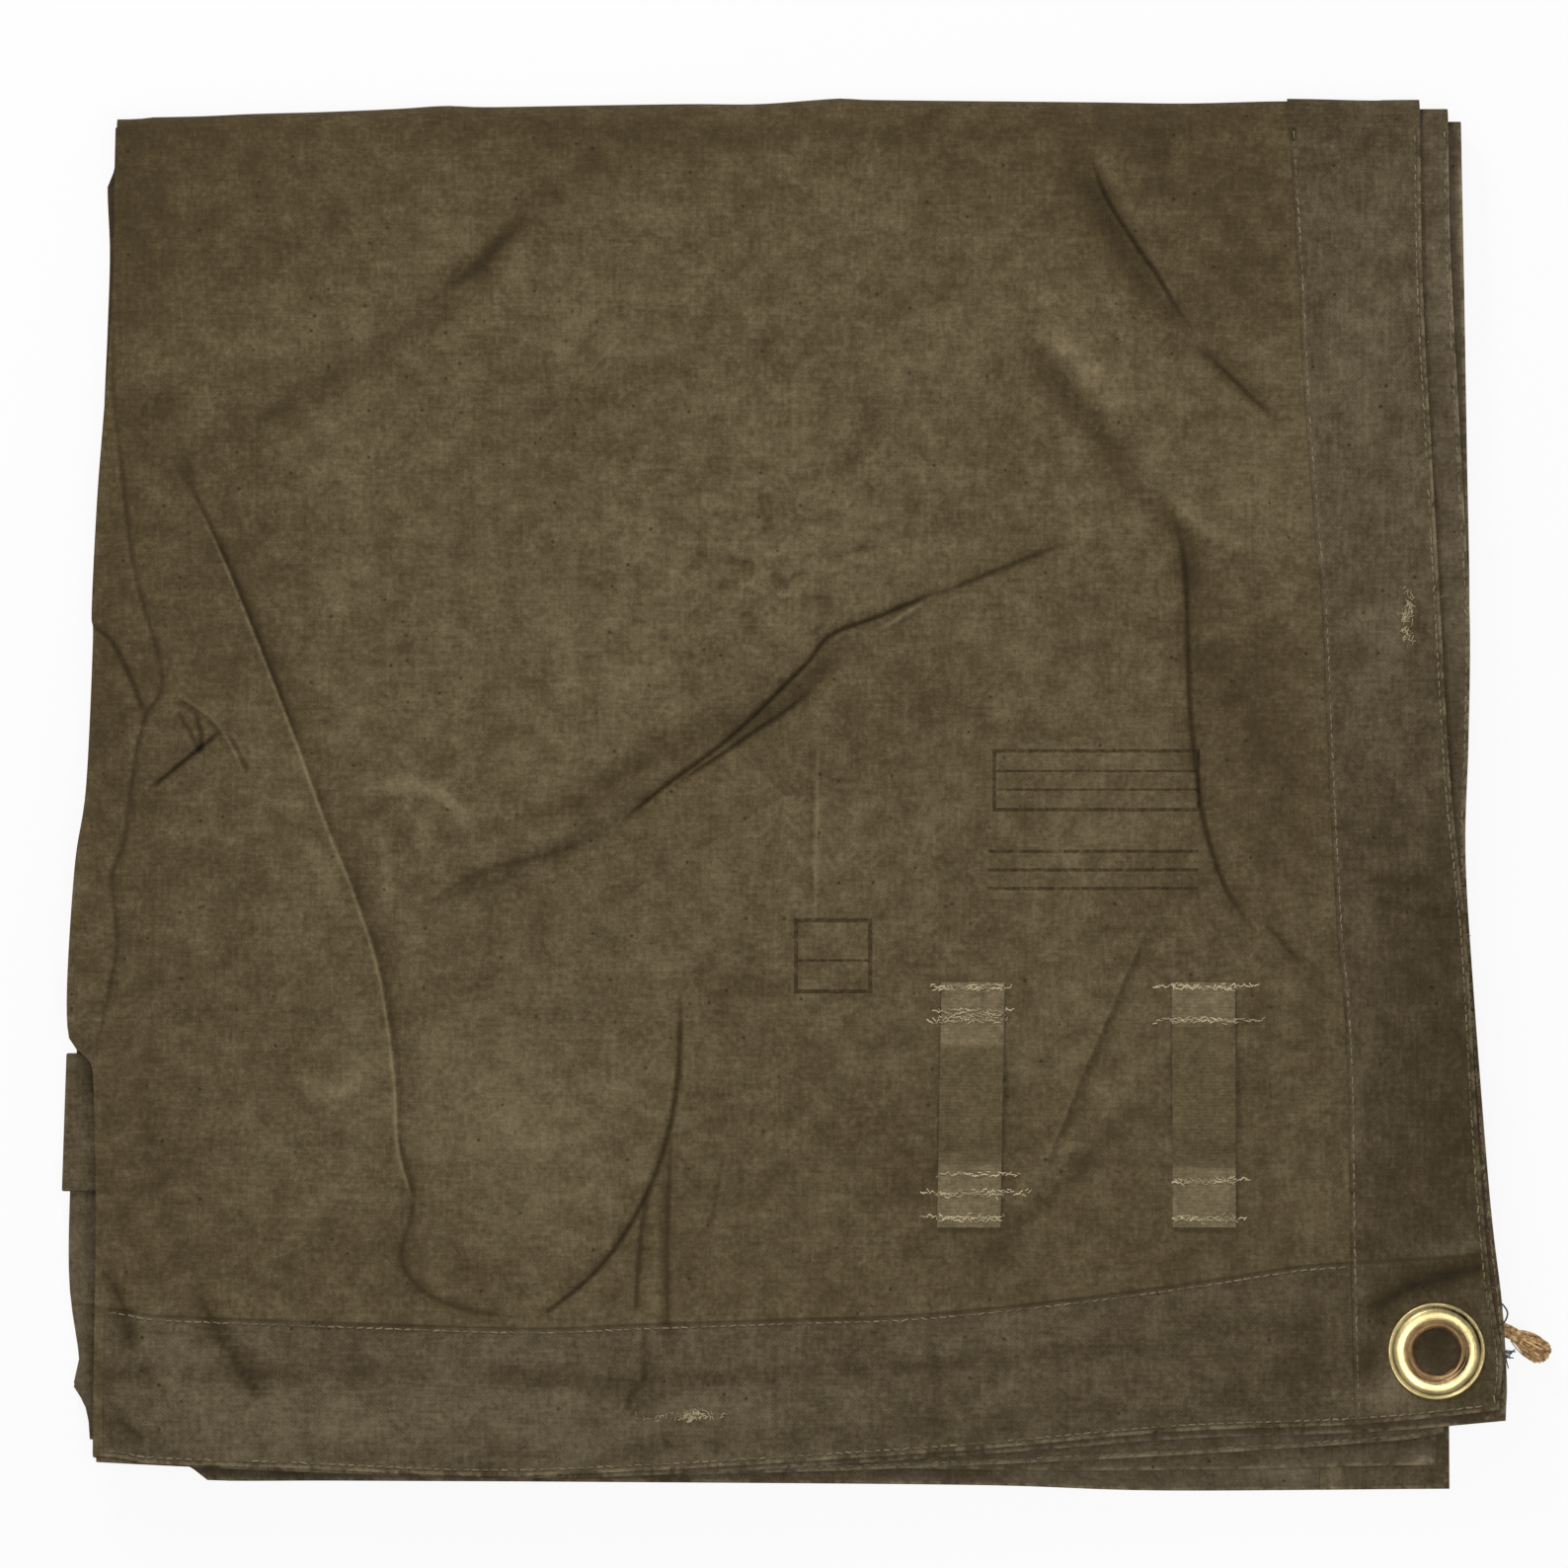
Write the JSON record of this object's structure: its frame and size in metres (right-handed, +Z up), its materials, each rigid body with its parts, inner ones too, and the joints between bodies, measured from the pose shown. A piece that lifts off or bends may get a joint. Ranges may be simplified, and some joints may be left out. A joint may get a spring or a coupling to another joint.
{
  "type": "mail sack",
  "caption": "Canvas mail sack folded flat into a square packet, with a brass corner eyelet, webbing keeper loops and a draw rope.",
  "frame": {"origin": "bottom centre of the folded packet, on the floor", "axes": "+Z up through the leaves, +X to the sack's mouth edge with the eyelet, +Y to the fold that joins the two halves"},
  "size_m": [0.4824, 0.452, 0.024],
  "materials": {
    "canvas": "olive-brown proofed cotton canvas, worn",
    "band_canvas": "the same canvas, doubled and sewn",
    "webbing": "ribbed cotton webbing",
    "thread": "pale waxed cotton thread",
    "rope": "laid hemp rope, frayed at its end",
    "brass": "worn brass"
  },
  "bodies": {
    "lower_half": {"front_panel_lower": "canvas", "back_panel_lower": "canvas", "lower_mouth_band": "band_canvas", "lower_mouth_band_seam": "thread", "inner_side_band_lower": "band_canvas", "front_panel_top_fold": "canvas", "back_panel_top_fold": "canvas", "mouth_band_top_turn": "band_canvas", "draw_rope": "rope", "rope_tab": "band_canvas", "side_tab": "band_canvas", "side_tab_seam": "thread"},
    "upper_half": {"front_panel_upper": "canvas", "back_panel_upper": "canvas", "mouth_band": "band_canvas", "side_band": "band_canvas", "back_mouth_band": "band_canvas", "inner_side_band_upper": "band_canvas", "corner_eyelet": "brass", "eyelet_washer": "brass", "left_keeper_loop": "webbing", "right_keeper_loop": "webbing", "keeper_tack_stitches": "thread", "worn_tack_stitches": "thread", "mouth_band_edge_seam": "thread", "mouth_band_inner_seam": "thread", "side_band_edge_seam": "thread", "side_band_inner_seam": "thread", "back_mouth_seam": "thread", "leaf_2_side_seam": "thread"}
  },
  "joints": [
    {"name": "top_fold", "type": "hinge", "parent": "lower_half", "child": "upper_half", "pos_m": [0, 0.2163, 0.00946], "axis": [-1, 0, 0], "range_deg": [0, 178], "deforming": ["front_panel_top_fold", "back_panel_top_fold", "mouth_band_top_turn"]}
  ]
}
